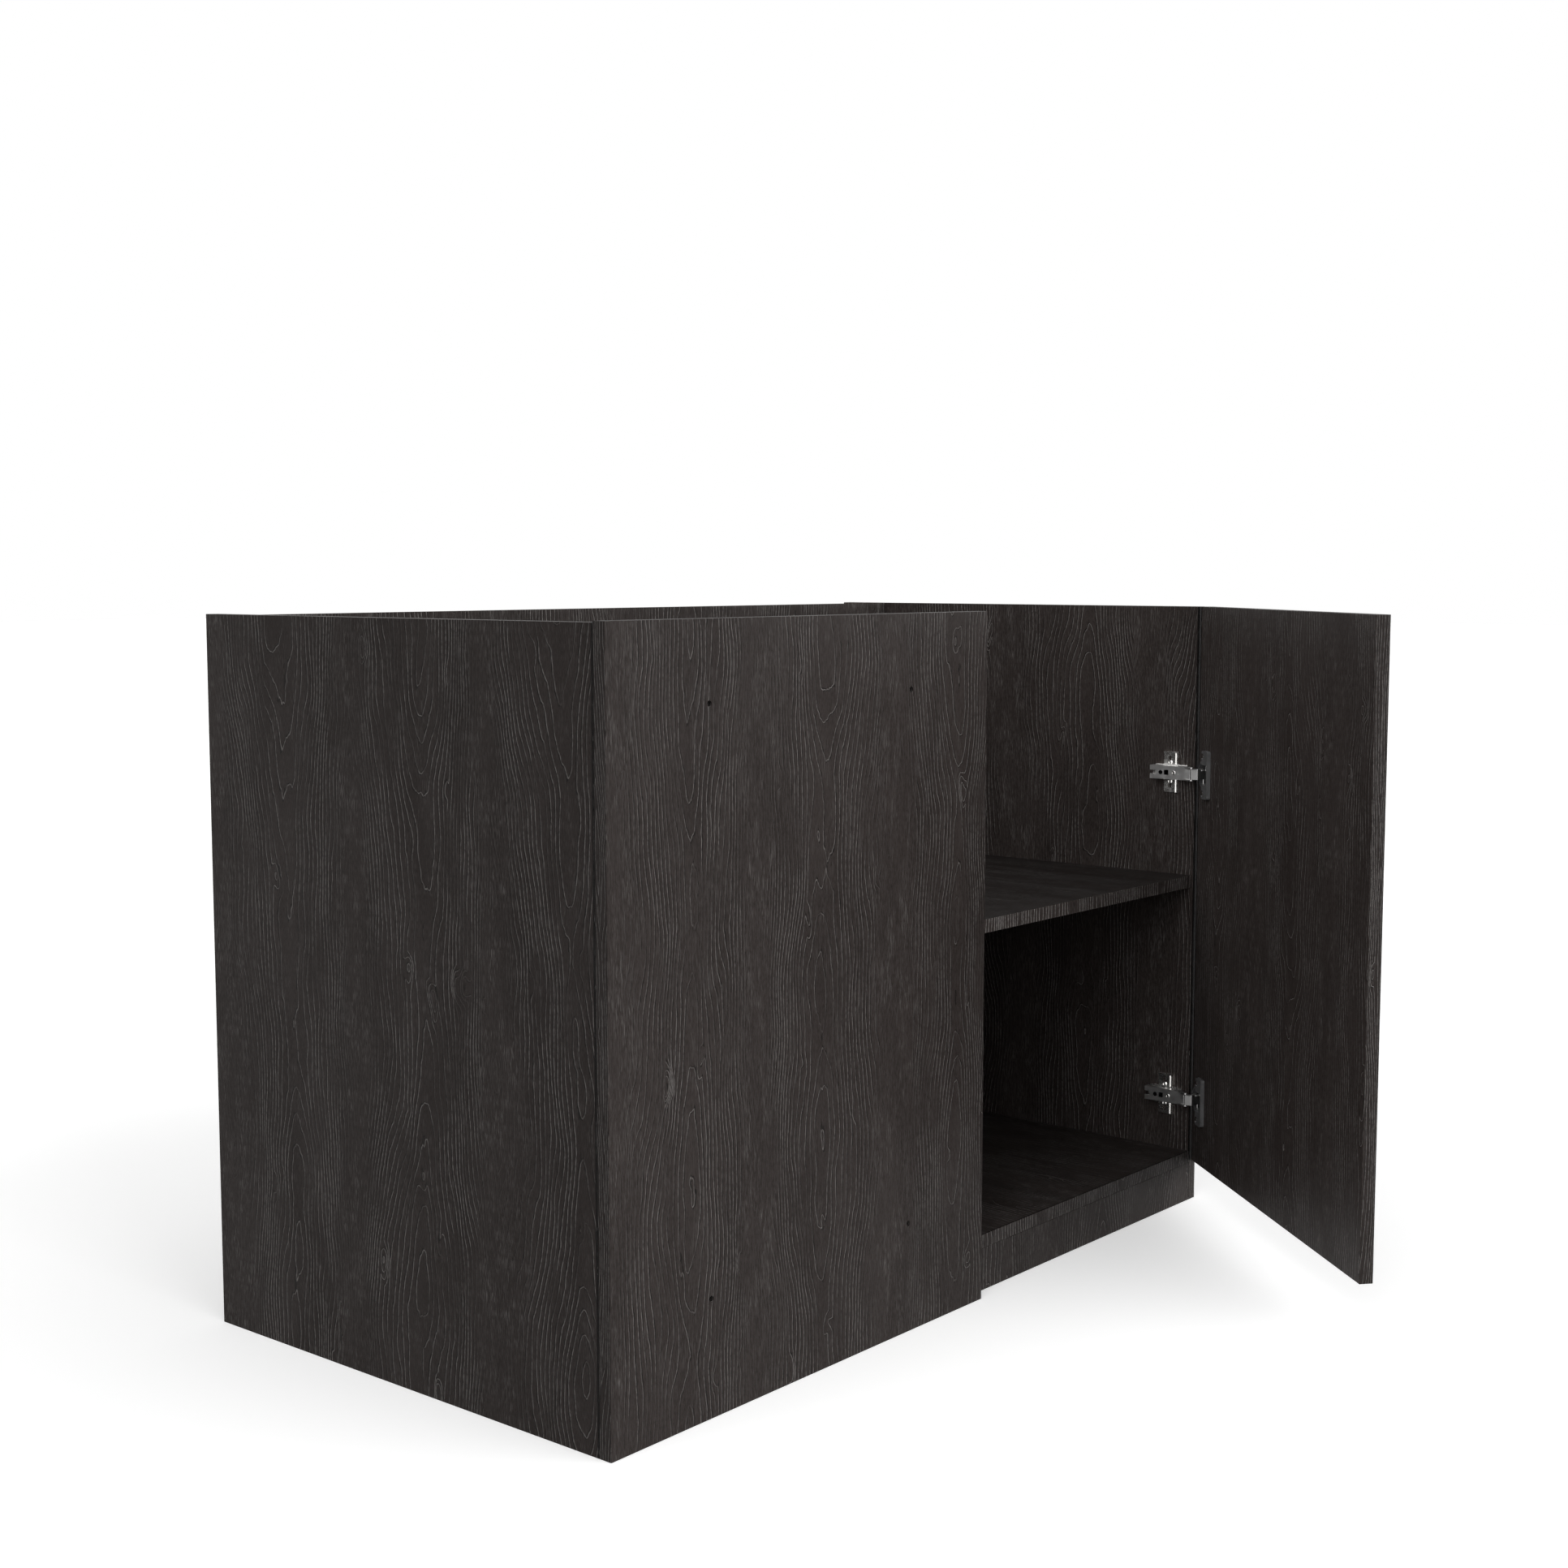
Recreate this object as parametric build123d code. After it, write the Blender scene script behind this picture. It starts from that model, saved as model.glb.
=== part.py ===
from build123d import *
import os
from math import atan2, cos, degrees, hypot, radians, sin

# Blind-corner base cabinet, standing on the floor.
# Frame: x along the front (0 in the middle of the carcass), y into the cabinet (0 in the carcass front
# plane), z up from the floor. All sizes are millimetres. The door is modelled standing open.

# ---- driving sizes: carcass -------------------------------------------------------------------------
BOARD = 16.0                # thickness of every laminated board
CARCASS_WIDTH = 1115.0
CARCASS_DEPTH = 582.0
CARCASS_HEIGHT = 780.0
PLINTH_HEIGHT = 50.0
EDGE_RADIUS = 0.6           # softened edge of the boards
SHELF_TOP = 431.5
SHELF_SETBACK = 4.0         # shelf's front edge behind the carcass front
SHELF_PLAY = 0.5            # between the shelf and the sides or the back
BACK_THICKNESS = 3.0
BACK_FACE = 506.0           # back's front face behind the carcass front
GROOVE_DEPTH = 6.0
GROOVE_PLAY = 0.2           # all round the back in its grooves
STRETCHER_HEIGHT = 90.0
STRETCHER_DROP = 12.0       # top stretcher below the sides' tops

# ---- driving sizes: fronts --------------------------------------------------------------------------
BLIND_WIDTH = 600.0
BLIND_RISE = 1.5            # blind panel above the sides' tops
BLIND_HOLE_RADIUS = 3.0
BLIND_HOLE_SPACING_X = 320.0
BLIND_HOLE_SPACING_Z = 580.0
BLIND_HOLE_FROM_TOP = 79.0  # upper holes below the sides' tops
DOOR_GAP = 2.0              # between the blind panel and the closed door
DOOR_REVEAL = 1.0           # closed door short of the carcass's outer face
DOOR_BACK_GAP = 2.0         # closed door in front of the carcass
DOOR_BOTTOM = 53.0          # closed door above the floor; its top is level with the sides
DOOR_OPEN_ANGLE = 50.0      # how far the modelled door stands open

# ---- driving sizes: fittings ------------------------------------------------------------------------
FIT = 0.05                  # radial play of a pin, dowel or screw in its hole
DOWEL_RADIUS = 4.0
DOWEL_LENGTH = 32.0
DOWEL_IN_FACE = 10.0        # length of a dowel inside a board's face
DOWEL_END_PLAY = 0.5        # hole beyond the end of a dowel or a screw
PANEL_ROW_Y = [60.0, 260.0, 455.0]              # dowels along the bottom panel's ends
CAM_ROW_Y = [110.0, 405.0]                      # cam locks along the bottom panel's ends
STRETCHER_DOWEL_OFFSET = 27.0                   # either side of a stretcher's middle
BLIND_DOWEL_Z = [100.0, 390.0, 680.0]
BLIND_DOWEL_X = [-440.0, -230.0, -30.0]
BLIND_BRACKET_Z = [150.0, 350.0, 700.0]
BLIND_BRACKET_X = [-350.0, -100.0]
PLINTH_BRACKET_X = [-330.0, 0.0, 330.0]
CAM_RADIUS = 7.5
CAM_DEPTH = 12.5
CAM_FROM_END = 34.0         # cam's centre from the board's end
CAM_BOLT_RADIUS = 3.0
CAM_HEAD_RADIUS = 3.6
CAM_HEAD_LENGTH = 4.0
CAM_THREAD_RADIUS = 2.5
CAM_THREAD_LENGTH = 11.0
CAM_SLOT_WIDTH = 1.6
CAM_SLOT_DEPTH = 2.0
SHELF_PIN_RADIUS = 2.5
SHELF_PIN_DEPTH = 9.0       # pin inside the side
SHELF_PIN_REACH = 8.0       # pin under the shelf
SHELF_PIN_COLLAR_RADIUS = 4.5
SHELF_PIN_COLLAR = 1.2
SHELF_PIN_FLAT = 0.6        # flat under the shelf cut off the pin
SHELF_PIN_FROM_EDGE = 60.0
BRACKET_LEG = 28.0
BRACKET_WIDTH = 26.0
BRACKET_SHEET = 2.0
BRACKET_HOLE_FROM_CORNER = 18.0
SCREW_RADIUS = 1.75
SCREW_LENGTH = 12.0
SCREW_HEAD_RADIUS = 3.5
SCREW_HEAD_HEIGHT = 1.8
SCREW_SOCKET = 2.4          # across the drive recess
SCREW_SOCKET_DEPTH = 1.0

# ---- driving sizes: concealed hinges ----------------------------------------------------------------
# Points on the arm are (distance inside the side's inner face, y); points on the door are
# (distance from its hinge edge, depth below its inner face), both with the door closed.
HINGE_HEIGHTS = {"lower": 138.0, "upper": 565.0}
LONG_LINK_ON_ARM = (15.65, -1.8)
SHORT_LINK_ON_ARM = (3.7, -10.3)
LONG_LINK_IN_CUP = (13.95, 1.9)
SHORT_LINK_IN_CUP = (13.3, 5.7)
LONG_LINK_ELBOW = (9.8, -7.2)
LONG_LINK_TURN = -0.637     # turn of the long link for each degree that the door opens
SHORT_LINK_TURN = -1.363    # turn of the short link for each degree that the door opens
PIVOT_RADIUS = 1.0
PIVOT_PLAY = 0.05
PIN_ROOT = 1.5              # pin's end held in the cup
OPEN_PIVOT_PLAY = 0.65      # the short link's loose eye round its pin in the cup
EYE_WALL = 0.75
LONG_LINK_LEVELS = (-7.0, 3.5)
KNUCKLE_TOP = 5.8           # the long link is this tall outside the cup
KNUCKLE_REACH = 3.4         # tall part of the long link beyond its elbow
SHORT_LINK_LEVELS = (3.9, 5.7)
HOOK_LEVELS = (6.0, 7.0)
HOOK_CORNER = (15.8, -10.8)
HOOK_RADIUS = 1.6
CUP_EDGE_DISTANCE = 3.0     # cup bore from the door's hinge edge
CUP_BORE_RADIUS = 17.5
CUP_BORE_DEPTH = 12.5
CUP_DEPTH = 12.2
CUP_WALL = 0.7
CUP_PLAY = 0.1
MOUTH_HALF_HEIGHT = 12.75
FLANGE_THICKNESS = 1.2
FLANGE_RADIUS = 18.5
WING_HALF_HEIGHT = 31.0
WING_REAR = 22.5            # wing's far edge beyond the cup's middle
COVER_THICKNESS = 3.8
COVER_NEAR = 3.0            # cover's near edge beyond the cup's middle
COVER_MOUTH_REAR = 19.5     # mouth in the cover beyond the cup's middle
WING_CORNER = 3.0
CUP_SCREW_SPACING = 48.0
CUP_SCREW_OFFSET = 6.0      # screws beyond the cup's middle
CUP_SCREW_LENGTH = 12.0
COVER_SCREW_PLAY = 0.6
ARM_TOP = 14.0              # arm's top face inside the side's inner face
ARM_SKIRT = 4.2
ARM_HALF_WIDTH = 8.75
ARM_SHEET = 1.5
ARM_REAR = 60.0
ARM_WEB_FRONT = 0.6
ARM_BEND = 1.2              # rounding of the web's front edge
ARM_SHOULDER = 9.0          # where the arm starts to rise to the long link's pin
ARM_EAR_RADIUS = 2.4
PLATE_LINE = 37.0           # line of the plate's screws behind the carcass front
PLATE_SCREW_SPACING = 25.0  # screws sit at the inner ends of their slots
PLATE_SLOT_SPACING = 31.0
PLATE_HALF_HEIGHT = 26.5
PLATE_AHEAD = 12.5          # plate's front edge before its screws
PLATE_BEHIND = 8.5          # plate's rear edge behind its screws
PLATE_BASE = 2.6
PLATE_LIP = 1.4             # width of the raised lips round the plate
PLATE_LIP_HEIGHT = 1.6
PLATE_LIP_SPACING = 3.6     # outer lip to inner lip
PLATE_CORNER = 1.5
STRIP_HALF_HEIGHT = 9.9     # strip of the plate that runs along under the arm
STRIP_FRONT = 11.5
STRIP_REAR = 58.5
PLATE_SLOT_LENGTH = 11.0
PLATE_SCREW_RADIUS = 2.1
PLATE_SCREW_DEPTH = 11.0
PLATE_SCREW_HEAD_RADIUS = 2.9
PLATE_SCREW_HEAD_HEIGHT = 1.6
RIDGE_HALF_WIDTH = 6.8
RIDGE_FRONT = 12.0
RIDGE_REAR = 56.0
SIDE_SCREW_Y = 25.5         # screw that shifts the door sideways
DEPTH_SCREW_Y = 44.0        # screw that clamps the arm on its plate
ARM_SCREW_RADIUS = 1.9
ARM_SCREW_HEAD_RADIUS = 2.7
ARM_SCREW_HEAD_HEIGHT = 0.9
ARM_SCREW_DEPTH = 6.0
ARM_WINDOW_Y = 36.0
ARM_WINDOW = 6.5
ARM_SLOT_WIDTH = 5.0
ARM_SLOT_FRONT = 52.0

# ---- places worked out from the sizes ---------------------------------------------------------------
HALF_WIDTH = CARCASS_WIDTH / 2
INNER = HALF_WIDTH - BOARD                      # inner face of either side
FLOOR_TOP = PLINTH_HEIGHT + BOARD               # top of the bottom panel
BACK_REAR = BACK_FACE + BACK_THICKNESS
REAR_BOARD = BACK_REAR + BOARD                  # rear face of the boards behind the back
BLIND_LEFT = -HALF_WIDTH
BLIND_RIGHT = BLIND_LEFT + BLIND_WIDTH
DOOR_LEFT = BLIND_RIGHT + DOOR_GAP
DOOR_RIGHT = HALF_WIDTH - DOOR_REVEAL
DOOR_FACE = -DOOR_BACK_GAP                      # inner face of the closed door
SHELF_UNDERSIDE = SHELF_TOP - BOARD
TOP_STRETCHER_TOP = CARCASS_HEIGHT - STRETCHER_DROP


# ---- shapes used everywhere -------------------------------------------------------------------------
def block(low, high):
    """Box between two opposite corners."""
    size = [b - a for a, b in zip(low, high)]
    middle = [(a + b) / 2 for a, b in zip(low, high)]
    return Pos(*middle) * Box(*size)


def board(low, high):
    """Laminated board with softened edges."""
    raw = block(low, high)
    return fillet(raw.edges(), EDGE_RADIUS)


def rod(start, along, length, radius):
    """Cylinder from a point along a row axis ('x', 'y' or 'z'); a negative length runs backwards."""
    turn = {"x": Rot(0, 90, 0), "y": Rot(-90, 0, 0), "z": Rot(0, 0, 0)}[along]
    cylinder = Cylinder(radius, abs(length), align=(Align.CENTER, Align.CENTER, Align.MIN))
    flip = Rot(180, 0, 0) if length < 0 else Rot(0, 0, 0)
    return Pos(*start) * turn * flip * cylinder


def group(pieces):
    """Several separate solids in one node."""
    return Compound(children=[solid for piece in pieces for solid in piece.solids()])


def cut_all(piece, tools):
    for tool in tools:
        piece = piece - tool
    return piece


# ---- joints of the carcass --------------------------------------------------------------------------
class Joinery:
    """Hidden pieces that hold the boards together, and the holes that they need."""

    def __init__(self):
        self.dowels = []
        self.cams = []
        self.bolts = []
        self.brackets = []
        self.screws = []
        self.holes = []

    def add_dowel(self, point, along, into_face):
        """Dowel across the joint at point; into_face is +1 or -1, towards the face-drilled board."""
        index = "xyz".index(along)
        start = list(point)
        start[index] += into_face * (DOWEL_IN_FACE - DOWEL_END_PLAY)
        self.dowels.append(rod(start, along, -into_face * DOWEL_LENGTH, DOWEL_RADIUS))
        start[index] += into_face * DOWEL_END_PLAY
        reach = DOWEL_LENGTH + 2 * DOWEL_END_PLAY
        self.holes.append(rod(start, along, -into_face * reach, DOWEL_RADIUS + FIT))

    def add_cam(self, point, inward, pressed_along, pressed_from, pressed_sign):
        """Cam lock in a board's end at point, on the side's inner face; inward is +1 or -1 along x."""
        centre = [point[0] + inward * CAM_FROM_END, point[1], point[2]]
        mouth = list(centre)
        mouth["xyz".index(pressed_along)] = pressed_from
        bore = rod(mouth, pressed_along, pressed_sign * CAM_DEPTH, CAM_RADIUS)
        channel = rod(point, "x", inward * (CAM_FROM_END + CAM_HEAD_RADIUS), CAM_HEAD_RADIUS + FIT)
        slot_size = {"y": [CAM_SLOT_WIDTH, 2 * CAM_SLOT_DEPTH, CAM_RADIUS],
                     "z": [CAM_SLOT_WIDTH, CAM_RADIUS, 2 * CAM_SLOT_DEPTH]}[pressed_along]
        cam = rod(mouth, pressed_along, pressed_sign * (CAM_DEPTH - FIT), CAM_RADIUS - FIT)
        self.cams.append(cut_all(cam, [channel, Pos(*mouth) * Box(*slot_size)]))
        head_start = CAM_FROM_END - CAM_HEAD_LENGTH / 2
        head_point = [point[0] + inward * head_start, point[1], point[2]]
        stem = rod(point, "x", inward * head_start, CAM_BOLT_RADIUS)
        head = rod(head_point, "x", inward * CAM_HEAD_LENGTH, CAM_HEAD_RADIUS - FIT)
        thread = rod(point, "x", -inward * CAM_THREAD_LENGTH, CAM_THREAD_RADIUS)
        self.bolts.append(stem + head + thread)
        self.holes += [bore, channel]
        self.holes.append(rod(point, "x", -inward * (CAM_THREAD_LENGTH + DOWEL_END_PLAY),
                              CAM_THREAD_RADIUS + FIT))

    def add_bracket(self, plane):
        """Angle bracket in an inner corner; the boards are on the negative sides of plane x and y."""
        legs = (block((0, 0, -BRACKET_WIDTH / 2), (BRACKET_LEG, BRACKET_SHEET, BRACKET_WIDTH / 2))
                + block((0, 0, -BRACKET_WIDTH / 2), (BRACKET_SHEET, BRACKET_LEG, BRACKET_WIDTH / 2)))
        heads = [((BRACKET_HOLE_FROM_CORNER, BRACKET_SHEET, 0), "y"),
                 ((BRACKET_SHEET, BRACKET_HOLE_FROM_CORNER, 0), "x")]
        for point, along in heads:
            self.screws.append(plane.location * wood_screw(point, along, -1, SCREW_LENGTH))
            hole = rod(point, along, -(SCREW_LENGTH + DOWEL_END_PLAY), SCREW_RADIUS + FIT)
            legs = legs - hole
            self.holes.append(plane.location * hole)
        self.brackets.append(plane.location * legs)


def wood_screw(point, along, inward, length):
    """Screw whose head rests on the surface at point; inward is +1 or -1 along the axis."""
    shank = rod(point, along, inward * length, SCREW_RADIUS)
    head = rod(point, along, -inward * SCREW_HEAD_HEIGHT, SCREW_HEAD_RADIUS)
    index = "xyz".index(along)
    top = list(point)
    top[index] -= inward * SCREW_HEAD_HEIGHT
    size = [SCREW_SOCKET] * 3
    size[index] = 2 * SCREW_SOCKET_DEPTH
    return shank + head - Pos(*top) * Box(*size)


def carcass_joinery():
    """Every dowel, cam lock, bracket and screw of the carcass."""
    j = Joinery()
    bottom_mid = PLINTH_HEIGHT + BOARD / 2
    rear_mid = BACK_REAR + BOARD / 2
    stretchers = [TOP_STRETCHER_TOP - STRETCHER_HEIGHT / 2, FLOOR_TOP + STRETCHER_HEIGHT / 2]
    for side in (-1, 1):
        wall = side * INNER
        for y in PANEL_ROW_Y:
            j.add_dowel((wall, y, bottom_mid), "x", side)
        for y in CAM_ROW_Y:
            j.add_cam((wall, y, bottom_mid), -side, "z", PLINTH_HEIGHT, 1)
        for y in (BOARD / 2, rear_mid):
            j.add_dowel((wall, y, PLINTH_HEIGHT / 2), "x", side)
        for z in stretchers:
            j.add_cam((wall, rear_mid, z), -side, "y", REAR_BOARD, -1)
            for offset in (-STRETCHER_DOWEL_OFFSET, STRETCHER_DOWEL_OFFSET):
                j.add_dowel((wall, rear_mid, z + offset), "x", side)
    for z in BLIND_DOWEL_Z:
        j.add_dowel((BLIND_LEFT + BOARD / 2, 0, z), "y", -1)
    for x in BLIND_DOWEL_X:
        j.add_dowel((x, 0, bottom_mid), "y", -1)
    for z in BLIND_BRACKET_Z:
        j.add_bracket(Plane((-INNER, 0, z), x_dir=(1, 0, 0), z_dir=(0, 0, 1)))
    for x in BLIND_BRACKET_X:
        j.add_bracket(Plane((x, 0, FLOOR_TOP), x_dir=(0, 1, 0), z_dir=(1, 0, 0)))
    for x in PLINTH_BRACKET_X:
        j.add_bracket(Plane((x, BOARD, PLINTH_HEIGHT), x_dir=(0, 1, 0), z_dir=(-1, 0, 0)))
        j.add_bracket(Plane((x, BACK_REAR, PLINTH_HEIGHT), x_dir=(0, -1, 0), z_dir=(1, 0, 0)))
    return j


# ---- boards -----------------------------------------------------------------------------------------
def back_slot():
    """Space that the back and its play take up in the boards round it."""
    return block((-INNER - GROOVE_DEPTH, BACK_FACE - GROOVE_PLAY, FLOOR_TOP - GROOVE_DEPTH),
                 (INNER + GROOVE_DEPTH, BACK_REAR + GROOVE_PLAY, CARCASS_HEIGHT + BOARD))


def side_panel(side):
    inner, outer = sorted((side * INNER, side * HALF_WIDTH))
    return board((inner, 0, 0), (outer, CARCASS_DEPTH, CARCASS_HEIGHT)) - back_slot()


def bottom_panel():
    return board((-INNER, 0, PLINTH_HEIGHT), (INNER, REAR_BOARD, FLOOR_TOP)) - back_slot()


def plinth():
    return board((-INNER, 0, 0), (INNER, BOARD, PLINTH_HEIGHT))


def rear_plinth():
    return board((-INNER, BACK_REAR, 0), (INNER, REAR_BOARD, PLINTH_HEIGHT))


def rear_stretcher(top):
    """Board behind the back, from side to side; it stands clear of the back by the groove's play."""
    return board((-INNER, BACK_REAR + GROOVE_PLAY, top - STRETCHER_HEIGHT), (INNER, REAR_BOARD, top))


def back_panel():
    reach = INNER + GROOVE_DEPTH - GROOVE_PLAY
    return block((-reach, BACK_FACE, FLOOR_TOP - GROOVE_DEPTH + GROOVE_PLAY),
                 (reach, BACK_REAR, CARCASS_HEIGHT))


def shelf():
    reach = INNER - SHELF_PLAY
    return board((-reach, SHELF_SETBACK, SHELF_UNDERSIDE), (reach, BACK_FACE - SHELF_PLAY, SHELF_TOP))


def shelf_pin_places():
    """Middle of each pin on the side's inner face, with the side that it is in."""
    z = SHELF_UNDERSIDE - SHELF_PIN_RADIUS + SHELF_PIN_FLAT
    rows = (SHELF_SETBACK + SHELF_PIN_FROM_EDGE, BACK_FACE - SHELF_PIN_FROM_EDGE)
    return [((side * INNER, y, z), side) for side in (-1, 1) for y in rows]


def shelf_pin(point, side):
    """Pin with a collar against the side and a flat under the shelf."""
    above_shelf = block((-HALF_WIDTH, 0, SHELF_UNDERSIDE), (HALF_WIDTH, BACK_FACE, SHELF_TOP))
    outside = rod(point, "x", -side * SHELF_PIN_REACH, SHELF_PIN_RADIUS)
    collar = rod(point, "x", -side * SHELF_PIN_COLLAR, SHELF_PIN_COLLAR_RADIUS)
    inside = rod(point, "x", side * SHELF_PIN_DEPTH, SHELF_PIN_RADIUS)
    return (outside + collar - above_shelf) + inside


def shelf_pin_hole(point, side):
    return rod(point, "x", side * (SHELF_PIN_DEPTH + SHELF_PLAY), SHELF_PIN_RADIUS + FIT)


def blind_front_panel():
    panel = board((BLIND_LEFT, -BOARD, 0), (BLIND_RIGHT, 0, CARCASS_HEIGHT + BLIND_RISE))
    middle = (BLIND_LEFT + BLIND_RIGHT) / 2
    for across in (-BLIND_HOLE_SPACING_X / 2, BLIND_HOLE_SPACING_X / 2):
        for below in (BLIND_HOLE_FROM_TOP, BLIND_HOLE_FROM_TOP + BLIND_HOLE_SPACING_Z):
            start = (middle + across, 0, CARCASS_HEIGHT - below)
            panel = panel - rod(start, "y", -BOARD, BLIND_HOLE_RADIUS)
    return panel


# ---- the concealed hinges ---------------------------------------------------------------------------
def on_side(point):
    """Row x and y of a point given as (distance inside the right side's inner face, y)."""
    return (INNER - point[0], point[1])


def on_closed_door(point):
    """Row x and y of a point given as (distance from the hinge edge, depth below the inner face)."""
    return (DOOR_RIGHT - point[0], DOOR_FACE - point[1])


def swung(piece, pivot, angle, goal=None):
    """Piece turned about the vertical axis through pivot, which then moves to goal."""
    end = goal or pivot
    return Pos(end[0], end[1], 0) * Rot(0, 0, angle) * Pos(-pivot[0], -pivot[1], 0) * piece


def turned_point(point, pivot, angle):
    dx, dy = point[0] - pivot[0], point[1] - pivot[1]
    turn = radians(angle)
    return (pivot[0] + dx * cos(turn) - dy * sin(turn), pivot[1] + dx * sin(turn) + dy * cos(turn))


def bar(start, end, radius, levels):
    """Flat bar with round ends between two vertical axes."""
    length = hypot(end[0] - start[0], end[1] - start[1])
    angle = degrees(atan2(end[1] - start[1], end[0] - start[0]))
    flat = extrude(SlotCenterToCenter(length, 2 * radius), levels[1] - levels[0])
    return Pos((start[0] + end[0]) / 2, (start[1] + end[1]) / 2, levels[0]) * Rot(0, 0, angle) * flat


def upright(point, low, high, radius):
    """Cylinder along z through a point in plan."""
    return rod((point[0], point[1], low), "z", high - low, radius)


ARM_LONG = on_side(LONG_LINK_ON_ARM)
ARM_SHORT = on_side(SHORT_LINK_ON_ARM)
CUP_LONG = on_closed_door(LONG_LINK_IN_CUP)
CUP_SHORT = on_closed_door(SHORT_LINK_IN_CUP)
CUP_MIDDLE = (CUP_EDGE_DISTANCE + CUP_BORE_RADIUS, 0)
CUP_LONG_OPEN = turned_point(CUP_LONG, ARM_LONG, LONG_LINK_TURN * DOOR_OPEN_ANGLE)
EYE_RADIUS = PIVOT_RADIUS + PIVOT_PLAY + EYE_WALL
POCKET_RADIUS = CUP_BORE_RADIUS - CUP_PLAY - CUP_WALL
POCKET_DEPTH = CUP_DEPTH - CUP_WALL


def opened(piece):
    """A piece of the closed door, moved with the door to where it stands open."""
    return swung(piece, CUP_LONG, DOOR_OPEN_ANGLE, CUP_LONG_OPEN)


def long_link():
    elbow = on_side(LONG_LINK_ELBOW)
    tall = (LONG_LINK_LEVELS[0], KNUCKLE_TOP)
    part = KNUCKLE_REACH / hypot(CUP_LONG[0] - elbow[0], CUP_LONG[1] - elbow[1])
    knuckle_end = tuple(a + (b - a) * part for a, b in zip(elbow, CUP_LONG))
    body = bar(ARM_LONG, elbow, EYE_RADIUS, tall) + bar(elbow, knuckle_end, EYE_RADIUS, tall)
    body = body + bar(elbow, CUP_LONG, EYE_RADIUS, LONG_LINK_LEVELS)
    holes = [upright(point, *tall, PIVOT_RADIUS + PIVOT_PLAY) for point in (ARM_LONG, CUP_LONG)]
    return swung(cut_all(body, holes), ARM_LONG, LONG_LINK_TURN * DOOR_OPEN_ANGLE)


def short_link():
    loose = PIVOT_RADIUS + OPEN_PIVOT_PLAY
    body = bar(ARM_SHORT, CUP_SHORT, EYE_RADIUS, SHORT_LINK_LEVELS)
    body = body + upright(CUP_SHORT, *SHORT_LINK_LEVELS, loose + EYE_WALL)
    body = body - upright(ARM_SHORT, *SHORT_LINK_LEVELS, PIVOT_RADIUS + PIVOT_PLAY)
    body = body - upright(CUP_SHORT, *SHORT_LINK_LEVELS, loose)
    return swung(body, ARM_SHORT, SHORT_LINK_TURN * DOOR_OPEN_ANGLE)


def arm_pin_solids():
    """The long link's pin runs right through the arm; the short link's pin stands on the hook."""
    return [upright(ARM_LONG, -ARM_HALF_WIDTH, ARM_HALF_WIDTH, PIVOT_RADIUS),
            upright(ARM_SHORT, SHORT_LINK_LEVELS[0], HOOK_LEVELS[1], PIVOT_RADIUS)]


def cup_pin_solids():
    """Both pins stand on the cup's walls, from opposite sides, so that the links can cross."""
    return [upright(CUP_LONG, -MOUTH_HALF_HEIGHT - PIN_ROOT, LONG_LINK_LEVELS[1], PIVOT_RADIUS),
            upright(CUP_SHORT, SHORT_LINK_LEVELS[0], MOUTH_HALF_HEIGHT + PIN_ROOT, PIVOT_RADIUS)]


def hinge_arm():
    """Channel over the mounting plate, with ears and a hook that carry the links."""
    shoulder = (ARM_TOP - ARM_EAR_RADIUS, ARM_SHOULDER)
    hook_corner = on_side(HOOK_CORNER)
    arm = block((INNER - ARM_TOP, ARM_WEB_FRONT, -ARM_HALF_WIDTH),
                (INNER - ARM_TOP + ARM_SHEET, ARM_REAR, ARM_HALF_WIDTH))
    arm = fillet(arm.edges().filter_by(Axis.Z).group_by(Axis.Y)[0].sort_by(Axis.X)[0], ARM_BEND)
    for low in (-ARM_HALF_WIDTH, ARM_HALF_WIDTH - ARM_SHEET):
        levels = (low, low + ARM_SHEET)
        skirt = block((INNER - ARM_TOP, ARM_SHOULDER, low),
                      (INNER - ARM_SKIRT, ARM_REAR, low + ARM_SHEET))
        arm = arm + skirt
        arm = arm + bar(on_side(shoulder), ARM_LONG, ARM_EAR_RADIUS, levels)
    root_levels = (HOOK_LEVELS[0], ARM_HALF_WIDTH)
    arm = arm + bar(on_side(shoulder), ARM_LONG, HOOK_RADIUS, root_levels)
    arm = arm + bar(ARM_LONG, hook_corner, HOOK_RADIUS, HOOK_LEVELS)
    arm = arm + bar(hook_corner, ARM_SHORT, HOOK_RADIUS, HOOK_LEVELS)
    window = arm_window()
    slot = block((INNER - ARM_TOP, ARM_SLOT_FRONT, -ARM_SLOT_WIDTH / 2),
                 (INNER - ARM_TOP + ARM_SHEET, ARM_REAR, ARM_SLOT_WIDTH / 2))
    arm = cut_all(arm, [window, slot] + [arm_screw_hole(y) for y in (SIDE_SCREW_Y, DEPTH_SCREW_Y)])
    return cut_all(arm, [upright(point, -ARM_HALF_WIDTH, ARM_HALF_WIDTH, PIVOT_RADIUS + FIT)
                         for point in (ARM_LONG, ARM_SHORT)])


def arm_window():
    """Square opening through the arm and the plate's ridge."""
    return block((INNER - ARM_TOP, ARM_WINDOW_Y - ARM_WINDOW / 2, -ARM_WINDOW / 2),
                 (INNER - PLATE_BASE, ARM_WINDOW_Y + ARM_WINDOW / 2, ARM_WINDOW / 2))


def arm_screw_hole(y):
    return rod((INNER - ARM_TOP, y, 0), "x", ARM_SCREW_DEPTH + FIT, ARM_SCREW_RADIUS + FIT)


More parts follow.
